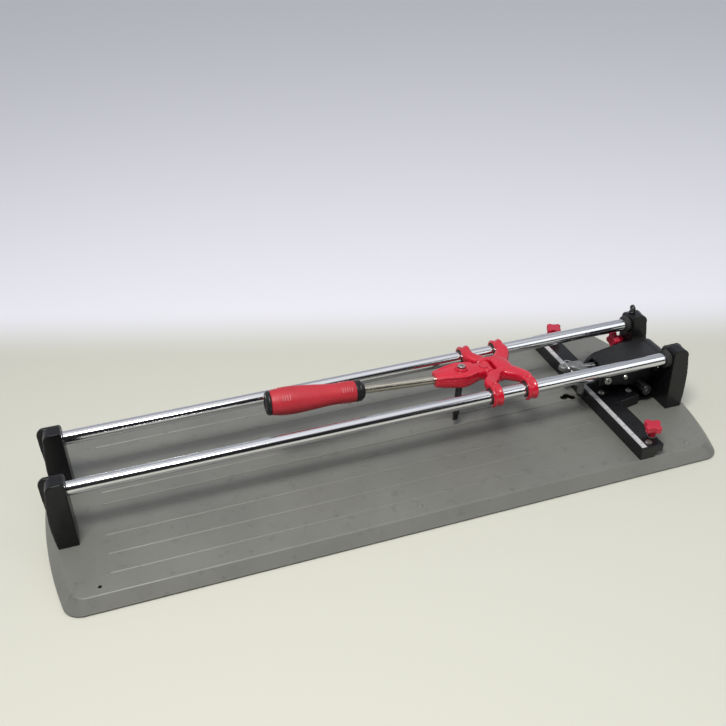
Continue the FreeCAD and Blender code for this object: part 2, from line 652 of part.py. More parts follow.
def make_carriage():
    cheek = slab_xz(
        (PIVOT_X, 87.5),
        [(170.0, 87.5), (170.0, 106.0), (PIVOT_X, 106.5),
         ((PIVOT_X - 9.5, PIVOT_Z), (PIVOT_X, 87.5))], CHEEK)
    hub = slab_xy(
        (160.0, -20.0),
        [(171.0, -20.0), ((181.0, 0.0), (171.0, 20.0)), (160.0, 20.0)], (87.5, 106.0))
    hub = soften(hub, 3.0, lambda e: e.BoundBox.ZMin > 105.9 and e.BoundBox.XMax > 165.0)
    near_arm = slab_xy(
        (CLAW_XS[0] - 6.5, 18.0),
        [(CLAW_XS[0] + 7.0, 18.0), (CLAW_XS[0] + 6.5, 39.0), (CLAW_XS[0] - 6.5, 39.0)], (91.0, 103.5))
    far_arm = slab_xy(
        (160.0, 16.0),
        [(176.0, 8.0), ((188.0, 20.0), (CLAW_XS[1] + 6.8, 39.0)), (CLAW_XS[1] - 6.8, 39.0),
         ((175.0, 27.0), (160.0, 21.0))], (90.0, 103.0))
    parts = both_sides(cheek) + [hub] + both_sides(near_arm) + both_sides(far_arm)
    parts += [make_claw(x, row) for x in CLAW_XS for row in (-1, 1)]
    shape = join(parts)
    cuts = [rod((PIVOT_X, -30, PIVOT_Z), Y, PIN_RADIUS + SEATED, 60)]
    cuts += both_sides(rod((PIVOT_X, CHEEK[1], PIVOT_Z), Y, CLIP_RADIUS + 0.8, 2.5))
    for row in (-1, 1):
        cuts.append(rod((CARRIAGE_X - 60, row * HALF_SPACING, RAIL_HEIGHT), X, LINER_RADIUS + SEATED, 120))
    return shape.cut(cuts)


def make_slide_liners():
    liners = []
    for x in CLAW_XS:
        for row in (-1, 1):
            liner = ring((x - CLAW_WIDTH / 2 - 0.6, row * HALF_SPACING, RAIL_HEIGHT), X, LINER_RADIUS,
                         RAIL_RADIUS + RUNNING, CLAW_WIDTH + 1.2)
            liners.append(liner.cut(claw_gap(row)))
    return liners


def make_lever_pin():
    pin = rod((PIVOT_X, -21.5, PIVOT_Z), Y, PIN_RADIUS, 43.0)
    return pin.makeChamfer(0.6, [e for e in pin.Edges if len(e.Vertexes) == 1])


def make_pin_clips():
    return both_sides(ring((PIVOT_X, CHEEK[1] + 0.15, PIVOT_Z), Y, CLIP_RADIUS, PIN_RADIUS + SEATED, 0.9))


# ---- scoring lever ------------------------------------------------------------------
# These pieces are drawn level, measured from the lever's pivot, then tilted into place.
SOCKET_MOUTH = -75.5
ROD_RADIUS = 5.25
GRIP_START = -186.0
GRIP_LENGTH = 111.0
WHEEL_DROP = 70.6
WHEEL_RADIUS = 4.5
WHEEL_HALF = 0.8


def on_lever(shape):
    turn = Rotation(Y, LEVER_TILT)
    shape = shape.copy()
    shape.Placement = Placement(Vector(PIVOT_X, 0, PIVOT_Z), turn).multiply(shape.Placement)
    return shape


def oval(x, half_width, half_height, z):
    """An upright oval section across the lever."""
    if half_width >= half_height:
        curve = Part.Ellipse(Vector(x, half_width, z), Vector(x, 0, z + half_height), Vector(x, 0, z))
    else:
        curve = Part.Ellipse(Vector(x, 0, z + half_height), Vector(x, half_width, z), Vector(x, 0, z))
    return Part.Wire([curve.toShape()])


def make_lever_head():
    neck = Part.makeLoft([
        oval(SOCKET_MOUTH, 11.2, 8.8, -LEVER_AXIS_DROP),
        oval(-58.0, 14.2, 10.2, -3.4),
        oval(-40.0, 18.0, 11.0, -2.5),
        oval(-26.0, 14.5, 9.8, -0.8),
        oval(-15.0, 11.6, 8.8, 0.0),
    ], True)
    tongue = slab_xz(
        (0.0, -8.8),
        [((8.8, 0.0), (0.0, 8.8)), (-19.0, 8.8), (-19.0, -8.8)], (-11.7, 11.7))
    boss = Part.makeCone(8.6, 7.6, 8.5, Vector(-TOOL_OFFSET, 0, 4.0), Z)
    mark = rod((-4.0, 0, 7.0), Z, 6.0, 2.4)
    shape = join([neck, tongue, boss, mark])
    cuts = [
        rod((0, -30, 0), Y, PIN_RADIUS + RUNNING, 60),
        rod((SOCKET_MOUTH - 5, 0, -LEVER_AXIS_DROP), X, ROD_RADIUS + SEATED, 30.5),
        rod((-TOOL_OFFSET, 0, -40), Z, 4.5 + SEATED, 42.0),
        rod((-TOOL_OFFSET, 0, 0), Z, 3.0 + SEATED, 40.0),
        rod((-TOOL_OFFSET, 0, 9.5), Z, 5.4, 10.0),
    ]
    return on_lever(shape.cut(cuts))


def make_tool_screw():
    head = rod((-TOOL_OFFSET, 0, 9.6), Z, 5.2, 4.2)
    head = head.makeFillet(0.9, [e for e in head.Edges if e.BoundBox.ZMin > 13.7])
    shape = join([head, rod((-TOOL_OFFSET, 0, 2.2), Z, 3.0, 8.0)])
    return on_lever(shape.cut(hexagon((-TOOL_OFFSET, 0, 11.6), Z, 4.0, 5.0)))


def make_tool_rod():
    """The wheel holder: a round shank with a slotted, slightly pointed lower end."""
    low = -(WHEEL_DROP + 2.0)
    shank = rod((-TOOL_OFFSET, 0, low + 9.0), Z, 4.5, 2.0 - low - 9.0)
    tip = Part.makeCone(2.9, 4.5, 9.0, Vector(-TOOL_OFFSET, 0, low), Z)
    slot = box((-TOOL_OFFSET - 8, -TOOL_OFFSET + 8), (-WHEEL_HALF - 0.15, WHEEL_HALF + 0.15),
               (low - 1, -WHEEL_DROP + WHEEL_RADIUS + 0.8))
    pin_hole = rod((-TOOL_OFFSET, -8, -WHEEL_DROP), Y, 1.25 + SEATED, 16)
    return on_lever(join([shank, tip]).cut([slot, pin_hole]))


def make_scoring_wheel():
    half = [
        (1.25 + RUNNING, -WHEEL_HALF), (WHEEL_RADIUS - 0.8, -WHEEL_HALF), (WHEEL_RADIUS, -0.1),
        (WHEEL_RADIUS, 0.1), (WHEEL_RADIUS - 0.8, WHEEL_HALF), (1.25 + RUNNING, WHEEL_HALF),
    ]
    points = [Vector(r, y, 0) for r, y in half]
    wheel = Part.Face(Part.makePolygon(points + points[:1])).revolve(Vector(0, 0, 0), Y, 360)
    wheel.translate(Vector(-TOOL_OFFSET, 0, -WHEEL_DROP))
    return on_lever(wheel)


def make_wheel_pin():
    return on_lever(rod((-TOOL_OFFSET, -3.1, -WHEEL_DROP), Y, 1.25, 6.2))


def make_handle_rod():
    start = SOCKET_MOUTH + 25.0
    length = start - (GRIP_START - GRIP_LENGTH + 16.0)
    shape = rod((start, 0, -LEVER_AXIS_DROP), X * -1, ROD_RADIUS, length)
    return on_lever(shape)


def turned(profile, smooth):
    """A solid of revolution about the handle's axis, from (distance, radius) pairs."""
    start = GRIP_START
    points = [Vector(start - s, 0, -LEVER_AXIS_DROP + r) for s, r in profile]
    if smooth:
        curve = Part.BSplineCurve()
        curve.interpolate(points)
        top = [curve.toShape()]
    else:
        top = [Part.LineSegment(a, b).toShape() for a, b in zip(points[:-1], points[1:])]
    first = Vector(points[0].x, 0, -LEVER_AXIS_DROP)
    last = Vector(points[-1].x, 0, -LEVER_AXIS_DROP)
    edges = [Part.LineSegment(first, points[0]).toShape()] + top
    edges += [Part.LineSegment(points[-1], last).toShape(), Part.LineSegment(last, first).toShape()]
    face = Part.Face(Part.Wire(edges))
    return face.revolve(first, X, 360)


def grip_bore(depth):
    return rod((GRIP_START + 20, 0, -LEVER_AXIS_DROP), X * -1, ROD_RADIUS + SEATED, depth + 20)


def make_grip():
    shape = turned([(0, 13.6), (10, 14.2), (24, 13.7), (36, 14.2), (58, 16.2), (82, 18.0),
                    (100, 17.2), (GRIP_LENGTH, 15.4)], True)
    return on_lever(shape.cut(grip_bore(GRIP_LENGTH - 15.9)))


def make_grip_collar():
    shape = turned([(-12.0, 7.2), (-12.0, 9.8), (-9.0, 11.8), (-7.0, 13.4), (-1.0, 14.0), (0.0, 13.8)], False)
    return on_lever(shape.cut(grip_bore(5.0)))


def make_grip_cap():
    shape = turned([(GRIP_LENGTH, 15.6), (GRIP_LENGTH + 2.5, 15.6), (GRIP_LENGTH + 5.0, 13.6),
                    (GRIP_LENGTH + 6.2, 9.4)], False)
    return on_lever(shape)


# ---- all nodes ----------------------------------------------------------------------
def all_nodes():
    nodes = {
        "base_plate": make_base_plate(),
        "base_feet": make_base_feet(),
        "foot_rivets": make_foot_rivets(),
        "left_front_upright": make_upright(-1, -1),
        "left_rear_upright": make_upright(-1, 1),
        "right_front_upright": make_upright(1, -1),
        "right_rear_upright": make_upright(1, 1),
        "upright_bolts": make_upright_bolts(),
        "front_rail": make_rail(-1),
        "rear_rail": make_rail(1),
        "rail_end_screws": make_rail_end_screws(),
        "rail_wing_screw": make_rail_wing_screw(),
        "rail_bumpers": make_rail_bumpers(),
        "fence_bar": make_fence_bar(),
        "scale_strip": make_scale_strip(),
        "fence_screws": make_fence_screws(),
        "fence_nuts": make_fence_nuts(),
        "breaker_bracket": make_breaker_bracket(),
        "breaker_axle": make_breaker_axle(),
        "axle_sleeves": make_axle_sleeves(),
        "breaker_lever": make_breaker_lever(),
        "breaker_cover": make_breaker_cover(),
        "cover_screws": make_cover_screws(),
        "foot_bolt": make_foot_bolt(),
        "foot_nut": make_foot_nut(),
        "breaker_foot": make_breaker_foot(),
        "presser_pads": make_presser_pads(),
        "return_spring": make_return_spring(),
        "carriage": make_carriage(),
        "slide_liners": make_slide_liners(),
        "lever_pin": make_lever_pin(),
        "pin_clips": make_pin_clips(),
        "lever_head": make_lever_head(),
        "tool_screw": make_tool_screw(),
        "tool_rod": make_tool_rod(),
        "scoring_wheel": make_scoring_wheel(),
        "wheel_pin": make_wheel_pin(),
        "handle_rod": make_handle_rod(),
        "grip_collar": make_grip_collar(),
        "grip": make_grip(),
        "grip_cap": make_grip_cap(),
    }
    for name, y in (("front", FRONT_CLAMP_Y), ("rear", REAR_CLAMP_Y)):
        nodes[name + "_clamp_nut"] = make_clamp_nut(y)
        nodes[name + "_clamp_washer"] = make_clamp_washer(y)
        nodes[name + "_clamp_knob"] = lobed_knob((CLAMP_X, y, KNOB_SEAT), Z)
    nodes["lock_stud"] = rod((LOCK_SEAT_X - STUD_GRIP, LOCK_Y, LOCK_Z), X, STUD_RADIUS, LOCK_DEPTH + STUD_GRIP + 0.8)
    nodes["lock_knob"] = lobed_knob((LOCK_SEAT_X, LOCK_Y, LOCK_Z), X * -1)
    return nodes


def main():
    os.makedirs("parts", exist_ok=True)
    for name, shape in all_nodes().items():
        solid = Part.makeCompound(shape) if isinstance(shape, list) else shape
        if not solid.isValid():
            print("invalid:", name)
        print(name, "solids", len(solid.Solids), "volume", round(solid.Volume))
        solid.exportStep("parts/" + name + ".step")


main()
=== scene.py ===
import json
import math

import bmesh
import bpy
from mathutils import Matrix, Vector

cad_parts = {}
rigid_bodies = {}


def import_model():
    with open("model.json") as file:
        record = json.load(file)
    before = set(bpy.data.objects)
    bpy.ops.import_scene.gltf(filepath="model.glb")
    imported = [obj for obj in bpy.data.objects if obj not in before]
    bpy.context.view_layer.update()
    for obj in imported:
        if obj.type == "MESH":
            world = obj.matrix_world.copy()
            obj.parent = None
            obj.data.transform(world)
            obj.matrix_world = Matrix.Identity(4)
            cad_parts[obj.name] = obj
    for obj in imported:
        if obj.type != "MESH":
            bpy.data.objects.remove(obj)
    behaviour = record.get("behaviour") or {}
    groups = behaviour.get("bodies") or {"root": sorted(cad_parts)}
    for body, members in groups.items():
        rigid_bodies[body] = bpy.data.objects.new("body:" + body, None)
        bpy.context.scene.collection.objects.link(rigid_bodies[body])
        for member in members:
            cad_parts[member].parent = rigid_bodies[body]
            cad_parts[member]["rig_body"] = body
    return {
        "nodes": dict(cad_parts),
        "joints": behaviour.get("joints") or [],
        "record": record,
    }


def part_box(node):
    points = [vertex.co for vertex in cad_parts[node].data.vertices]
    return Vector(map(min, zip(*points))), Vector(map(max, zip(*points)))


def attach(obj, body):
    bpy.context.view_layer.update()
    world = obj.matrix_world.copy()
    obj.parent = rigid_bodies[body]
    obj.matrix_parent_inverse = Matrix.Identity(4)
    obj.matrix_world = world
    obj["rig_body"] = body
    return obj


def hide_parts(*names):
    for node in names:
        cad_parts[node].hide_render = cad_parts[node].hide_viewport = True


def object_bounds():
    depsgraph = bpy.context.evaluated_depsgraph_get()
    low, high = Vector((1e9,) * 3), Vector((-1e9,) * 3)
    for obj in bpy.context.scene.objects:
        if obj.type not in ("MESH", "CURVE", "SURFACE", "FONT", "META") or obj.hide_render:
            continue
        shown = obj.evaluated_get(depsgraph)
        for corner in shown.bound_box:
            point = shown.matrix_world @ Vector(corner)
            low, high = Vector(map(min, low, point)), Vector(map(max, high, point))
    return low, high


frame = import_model()
cad_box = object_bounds()
nodes = frame["nodes"]

MM = 0.001
X = Vector((1, 0, 0))
Y = Vector((0, 1, 0))
Z = Vector((0, 0, 1))

# ---- places, worked out from the frame ----------------------------------------------


def middle(node):
    low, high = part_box(node)
    return (low + high) / 2


def joint(name):
    return next(j for j in frame["joints"] if j["name"] == name)


PIVOT = Vector(joint("lever_pivot")["pos_m"])
RAIL_Y = middle("rear_rail").y
RAIL_Z = middle("rear_rail").z
RAIL_RADIUS = (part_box("rear_rail")[1].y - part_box("rear_rail")[0].y) / 2
LEVER_TILT = math.radians(4.4)


# ---- mesh helpers -------------------------------------------------------------------
def add_object(name, mesh):
    piece = bpy.data.objects.new(name, mesh)
    bpy.context.scene.collection.objects.link(piece)
    return piece


SAME_POINT = 1e-6            # metres within which two points are one
KEPT_SHARE = 0.45            # share of a casting's faces that is kept


def from_bmesh(name, bm, smooth=True):
    bmesh.ops.recalc_face_normals(bm, faces=bm.faces)
    mesh = bpy.data.meshes.new(name)
    bm.to_mesh(mesh)
    bm.free()
    if smooth:
        mesh.shade_smooth()
    return add_object(name, mesh)


def skin_rings(bm, rings):
    """Closed skin over rings of points, with a fan at each end."""
    loops = [[bm.verts.new(p) for p in ring] for ring in rings]
    count = len(loops[0])
    for a, b in zip(loops[:-1], loops[1:]):
        for i in range(count):
            k = (i + 1) % count
            bm.faces.new((a[i], a[k], b[k], b[i]))
    for loop in (loops[0], loops[-1]):
        hub = bm.verts.new(sum((v.co for v in loop), Vector()) / count)
        for i in range(count):
            bm.faces.new((loop[i], loop[(i + 1) % count], hub))


def squircle(centre, side, up, power, count=40):
    """A rounded-rectangle ring: side and up are its half-extent vectors."""
    points = []
    for i in range(count):
        angle = 2 * math.pi * i / count
        c, s = math.cos(angle), math.sin(angle)
        a = math.copysign(abs(c) ** (2 / power), c)
        b = math.copysign(abs(s) ** (2 / power), s)
        points.append(centre + side * a + up * b)
    return points


def spline(points, steps=10):
    """Points along a smooth line through the given ones (any number of values each)."""
    out = []
    last = len(points) - 1
    for i in range(last):
        p0, p1, p2, p3 = points[max(i - 1, 0)], points[i], points[i + 1], points[min(i + 2, last)]
        for k in range(steps + (i == last - 1)):
            t = k / steps
            out.append([
                0.5 * (2 * b + (c - a) * t + (2 * a - 5 * b + 4 * c - d) * t * t
                       + (3 * b - a - 3 * c + d) * t ** 3)
                for a, b, c, d in zip(p0, p1, p2, p3)])
    return out


def turned_rings(profile, origin, axis, around=56):
    """Rings of a turned shape from (distance, radius) pairs along an axis."""
    side = axis.cross(Y if abs(axis.y) < 0.9 else X).normalized()
    other = axis.cross(side).normalized()
    rings = []
    for distance, radius in profile:
        centre = origin + axis * distance
        rings.append([
            centre + side * (radius * math.cos(2 * math.pi * i / around))
            + other * (radius * math.sin(2 * math.pi * i / around))
            for i in range(around)])
    return rings


def on_lever(vector):
    """From the level lever's own millimetres, measured from its pivot, to the row frame."""
    turn = Matrix.Rotation(LEVER_TILT, 3, "Y")
    return PIVOT + turn @ (Vector(vector) * MM)


def applied(piece):
    """Replaces the piece's mesh by the result of its modifiers."""
    bpy.context.view_layer.update()
    graph = bpy.context.evaluated_depsgraph_get()
    mesh = bpy.data.meshes.new_from_object(piece.evaluated_get(graph))
    piece.modifiers.clear()
    piece.data = mesh
    mesh.shade_smooth()
    return piece


def cast(piece, voxel, passes):
    """Melts the piece into one skin with soft edges, like a casting."""
    remesh = piece.modifiers.new("skin", "REMESH")
    remesh.mode = "VOXEL"
    remesh.voxel_size = voxel * MM
    soften = piece.modifiers.new("soften", "SMOOTH")
    soften.iterations = passes
    soften.factor = 0.5
    thin = piece.modifiers.new("thin", "DECIMATE")
    thin.ratio = KEPT_SHARE
    return applied(piece)


def cast_copy(node, name, voxel, passes):
    """A copy of a CAD node with a casting's soft edges, which stands for the node."""
    bm = bmesh.new()
    bm.from_mesh(nodes[node].data)
    bmesh.ops.remove_doubles(bm, verts=bm.verts, dist=SAME_POINT)
    piece = from_bmesh(name, bm)
    cast(piece, voxel, passes)
    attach(piece, nodes[node]["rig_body"])
    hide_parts(node)
    return piece


# ---- node helpers -------------------------------------------------------------------
MIX_A, MIX_B, MIX_RESULT = 6, 7, 2      # a Mix node's two colour inputs and its colour output
BEVEL_SAMPLES = 4


def noise(tree, where, scale, detail):
    node = tree.nodes.new("ShaderNodeTexNoise")
    node.inputs["Scale"].default_value = scale
    node.inputs["Detail"].default_value = detail
    node.inputs["Roughness"].default_value = 0.6
    tree.links.new(where, node.inputs["Vector"])
    return node.outputs["Fac"]


def ranged(tree, value, band, to_low=0.0, to_high=1.0, ease="LINEAR"):
    """The value, with the band's two ends taken to to_low and to_high."""
    node = tree.nodes.new("ShaderNodeMapRange")
    node.interpolation_type = ease
    ends = {"From Min": band[0], "From Max": band[1], "To Min": to_low, "To Max": to_high}
    for socket, end in ends.items():
        node.inputs[socket].default_value = end
    tree.links.new(value, node.inputs["Value"])
    return node.outputs["Result"]


def mixed(tree, factor, a, b):
    """A colour between a and b, each of which is a colour or a socket."""
    node = tree.nodes.new("ShaderNodeMix")
    node.data_type = "RGBA"
    tree.links.new(factor, node.inputs["Factor"])
    for socket, value in ((node.inputs[MIX_A], a), (node.inputs[MIX_B], b)):
        if isinstance(value, tuple):
            socket.default_value = (*value, 1.0)
        else:
            tree.links.new(value, socket)
    return node.outputs[MIX_RESULT]


def rounded_normal(tree, width):
    """The normal with edges rounded over a width in millimetres."""
    node = tree.nodes.new("ShaderNodeBevel")
    node.samples = BEVEL_SAMPLES
    node.inputs["Radius"].default_value = width * MM
    return node.outputs["Normal"]


# ---- materials ----------------------------------------------------------------------
WEAR_WIDTH = 0.7            # millimetres from an edge that its wear reaches
WEAR_BAND = (0.95, 0.78)    # cosine from true to rounded normal: where wear starts, and where it is full
WEAR_STRENGTH = 0.7
DRIFT_BAND = (0.35, 0.65)   # noise values over which the colour drifts
SPECK_BAND = (0.60, 0.72)   # noise values over which a speck of dirt grows
GLOSS_BAND = (0.3, 0.7)     # noise values over which the gloss varies
SPECK_FINENESS = 9.0        # how much finer the specks are than the drift
GLOSS_FINENESS = 3.0        # how much finer the gloss is than the drift
DIRT_SHADE = 0.45           # brightness of dirt against the second colour
COAT_ROUGHNESS = 0.08


def surface(name, colour, second, roughness, metallic=0.0, coat=0.0, blotch=22.0, grain=900.0,
            grain_depth=0.02, spread=0.1, stretch=(1, 1, 1), worn=None, dirt=0.0, edge=0.35, specular=0.5):
    """A procedural finish: colour drift, dirt, worn edges, uneven gloss and a fine grain."""
    material = bpy.data.materials.new(name)
    material.use_nodes = True
    tree = material.node_tree
    link = tree.links.new
    shader = tree.nodes["Principled BSDF"]
    place = tree.nodes.new("ShaderNodeTexCoord").outputs["Object"]
    mapping = tree.nodes.new("ShaderNodeMapping")
    mapping.inputs["Scale"].default_value = stretch
    link(place, mapping.inputs["Vector"])
    stretched = mapping.outputs["Vector"]

    drift = ranged(tree, noise(tree, stretched, blotch, 5.0), DRIFT_BAND)
    shade = mixed(tree, drift, colour, second)
    if dirt:
        specks = ranged(tree, noise(tree, place, blotch * SPECK_FINENESS, 3.0), SPECK_BAND, 0.0, dirt)
        shade = mixed(tree, specks, shade, tuple(c * DIRT_SHADE for c in second))
    if worn:
        dot = tree.nodes.new("ShaderNodeVectorMath")
        dot.operation = "DOT_PRODUCT"
        link(rounded_normal(tree, WEAR_WIDTH), dot.inputs[0])
        link(tree.nodes.new("ShaderNodeNewGeometry").outputs["Normal"], dot.inputs[1])
        wear = ranged(tree, dot.outputs["Value"], WEAR_BAND, 0.0, WEAR_STRENGTH)
        shade = mixed(tree, wear, shade, worn)
    link(shade, shader.inputs["Base Color"])
    gloss = noise(tree, stretched, blotch * GLOSS_FINENESS, 6.0)
    half = spread / 2
    link(ranged(tree, gloss, GLOSS_BAND, roughness - half, roughness + half), shader.inputs["Roughness"])
    shader.inputs["Metallic"].default_value = metallic
    shader.inputs["Specular IOR Level"].default_value = specular
    shader.inputs["Coat Weight"].default_value = coat
    shader.inputs["Coat Roughness"].default_value = COAT_ROUGHNESS
    bump = tree.nodes.new("ShaderNodeBump")
    bump.inputs["Strength"].default_value = 1.0
    bump.inputs["Distance"].default_value = grain_depth * MM
    link(noise(tree, stretched, grain, 2.0), bump.inputs["Height"])
    link(rounded_normal(tree, edge), bump.inputs["Normal"])
    link(bump.outputs["Normal"], shader.inputs["Normal"])
    return material


FINISHES = {
    "grey_enamel": surface("grey_enamel", (0.175, 0.176, 0.158), (0.150, 0.151, 0.137), 0.42, spread=0.16,
                           blotch=9.0, grain=700.0, grain_depth=0.05, worn=(0.24, 0.24, 0.22), dirt=0.30),
    "black_casting": surface("black_casting", (0.004, 0.004, 0.005), (0.007, 0.007, 0.008), 0.30, spread=0.12,
                             specular=0.34, grain=1100.0, grain_depth=0.02, worn=(0.045, 0.045, 0.045),
                             dirt=0.15),
    "black_plastic": surface("black_plastic", (0.007, 0.007, 0.008), (0.012, 0.012, 0.013), 0.38, spread=0.10,
                             specular=0.36, grain=1600.0, grain_depth=0.03, dirt=0.2),
    "rail_chrome": surface("rail_chrome", (0.76, 0.76, 0.78), (0.66, 0.66, 0.68), 0.13, metallic=1.0,
                           blotch=60.0, grain=1500.0, grain_depth=0.002, spread=0.08, stretch=(0.05, 1, 1)),
    "red_enamel": surface("red_enamel", (0.60, 0.008, 0.030), (0.50, 0.006, 0.024), 0.27, coat=0.5,
                          specular=0.4, spread=0.12, blotch=40.0, grain=420.0, grain_depth=0.10,
                          worn=(0.60, 0.03, 0.06), dirt=0.25),
    "red_grip": surface("red_grip", (0.50, 0.022, 0.036), (0.42, 0.018, 0.030), 0.50, spread=0.14,
                        blotch=35.0, grain=1800.0, grain_depth=0.04, worn=(0.50, 0.06, 0.08), dirt=0.35),
    "red_plastic": surface("red_plastic", (0.52, 0.010, 0.040), (0.44, 0.008, 0.032), 0.32, coat=0.2,
                           grain=900.0, grain_depth=0.02, worn=(0.68, 0.06, 0.07), dirt=0.15),
    "black_rubber": surface("black_rubber", (0.020, 0.020, 0.020), (0.030, 0.030, 0.029), 0.70, spread=0.12,
                            grain=900.0, grain_depth=0.06, dirt=0.3),
    "zinc_steel": surface("zinc_steel", (0.60, 0.59, 0.55), (0.47, 0.46, 0.43), 0.30, metallic=1.0,
                          spread=0.16, blotch=160.0, grain=1500.0, grain_depth=0.02, worn=(0.75, 0.74, 0.70),
                          dirt=0.5),
    "dark_steel": surface("dark_steel", (0.10, 0.10, 0.105), (0.06, 0.06, 0.062), 0.38, metallic=1.0,
                          spread=0.2, blotch=140.0, grain=1200.0, grain_depth=0.02, worn=(0.36, 0.36, 0.36),
                          dirt=0.3),
    "nickel_steel": surface("nickel_steel", (0.64, 0.60, 0.50), (0.50, 0.46, 0.38), 0.22, metallic=1.0,
                            spread=0.16, blotch=90.0, grain=1300.0, grain_depth=0.006, stretch=(0.3, 1, 1),
                            dirt=0.4),
    "spring_wire": surface("spring_wire", (0.74, 0.74, 0.73), (0.60, 0.60, 0.60), 0.24, metallic=1.0,
                           blotch=120.0, grain=1500.0, grain_depth=0.004),
    "grey_casting": surface("grey_casting", (0.30, 0.31, 0.31), (0.23, 0.235, 0.235), 0.46, metallic=0.75,
                            spread=0.2, blotch=90.0, grain=700.0, grain_depth=0.06, worn=(0.5, 0.5, 0.5),
                            dirt=0.3),
    "scale_aluminium": surface("scale_aluminium", (0.74, 0.74, 0.74), (0.60, 0.60, 0.60), 0.40, metallic=0.35,
                               spread=0.14, blotch=70.0, grain=1600.0, grain_depth=0.004, stretch=(1, 0.1, 1),
                               dirt=0.45),
    "nylon": surface("nylon", (0.020, 0.020, 0.021), (0.032, 0.032, 0.033), 0.50, grain=1200.0, dirt=0.4),
    "carbide": surface("carbide", (0.28, 0.28, 0.29), (0.20, 0.20, 0.21), 0.30, metallic=1.0, grain=1800.0,
                       grain_depth=0.01),
}
GRIP_MARK = surface("grip_mark", (0.62, 0.22, 0.24), (0.50, 0.10, 0.12), 0.55, grain=1800.0, dirt=0.3)
SCALE_INK = surface("scale_ink", (0.010, 0.010, 0.011), (0.03, 0.03, 0.03), 0.5, grain=1500.0, dirt=0.2)

slot_of = {part["node"]: part["material_slot"] for part in frame["record"]["subparts"]}


def paint(piece, slot_name, material=None):
    piece.data.materials.clear()
    piece.data.materials.append(material or FINISHES[slot_name])


def paint_nodes():
    for name, piece in nodes.items():
        piece.data.materials.clear()
        piece.data.materials.append(FINISHES[slot_of[name]])


# ---- castings that keep the CAD shape, with softer edges -----------------------------
def make_castings():
    plan = [
        ("left_front_upright", 0.9, 5), ("left_rear_upright", 0.9, 5),
        ("right_front_upright", 0.9, 5), ("right_rear_upright", 0.9, 5),
        ("breaker_cover", 0.9, 16), ("breaker_foot", 0.7, 6), ("rail_wing_screw", 0.4, 3),
        ("front_clamp_knob", 0.45, 5), ("rear_clamp_knob", 0.45, 5), ("lock_knob", 0.45, 5),
    ]
    for node, voxel, passes in plan:
        piece = cast_copy(node, node + "_shape", voxel, passes)
        paint(piece, slot_of[node])


# ---- rails, finely turned so that they reflect smoothly ---------------------------------
RAIL_CHAMFER = 0.8 * MM
RAIL_EASE = 0.05 * MM        # what is left of the chamfer at its inner end


def make_rails():
    for node in ("front_rail", "rear_rail"):
        low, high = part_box(node)
        length = high.x - low.x
        radius = RAIL_RADIUS
        profile = [(0.0, radius - RAIL_CHAMFER), (RAIL_CHAMFER, radius - RAIL_EASE),
                   (RAIL_CHAMFER * 1.4, radius)]
        profile += [(length - d, r) for d, r in reversed(profile)]
        start = Vector((low.x, (low.y + high.y) / 2, (low.z + high.z) / 2))
        bm = bmesh.new()
        skin_rings(bm, turned_rings(profile, start, X, 128))
        rail = from_bmesh(node + "_turned", bm)
        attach(rail, "base")
        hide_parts(node)
        paint(rail, "rail_chrome")


# ---- the red carriage ----------------------------------------------------------------
CLAW_OFFSET = 24.5 * MM      # from the middle of the carriage to each pair of claws
CLAW_XS = [middle("slide_liners").x + side * CLAW_OFFSET for side in (-1, 1)]
HOOK_STEPS = 44
HOOK_TIP = (0.82, 0.18, 0.22)  # along the hook: where its tip starts, how long it is, how much it narrows


def tapered_arm(bm, stations, power=3.0):
    """An arm through stations (x, y, z, half width, half thickness), in millimetres."""
    path = spline(stations, 8)
    rings = []
    for i, (x, y, z, width, depth) in enumerate(path):
        before, after = path[max(i - 1, 0)], path[min(i + 1, len(path) - 1)]
        along = Vector([b - a for a, b in zip(before[:3], after[:3])]).normalized()
        side = along.cross(Z).normalized()
        up = side.cross(along).normalized()
        centre = Vector((x, y, z)) * MM
        rings.append(squircle(centre, side * width * MM, up * depth * MM, power))
    skin_rings(bm, rings)


def hook(bm, x, row, half_width, inner, outer, start, end):
    """A C-shaped bar over a rail. Its angles run from the inner side, over the top, in degrees."""
    rings = []
    tip_start, tip_length, tip_narrowing = HOOK_TIP
    for i in range(HOOK_STEPS + 1):
        t = i / HOOK_STEPS
        angle = math.radians(start + (end - start) * t)
        taper = 1.0 - tip_narrowing * max(0.0, t - tip_start) / tip_length
        out = Vector((0, -row * math.cos(angle), math.sin(angle)))
        centre = Vector((x, row * RAIL_Y, RAIL_Z)) + out * ((inner + outer) / 2 * MM)
        thick = (outer - inner) / 2 * taper
        rings.append(squircle(centre, X * half_width * taper * MM, out * thick * MM, 3.2, 28))
    skin_rings(bm, rings)


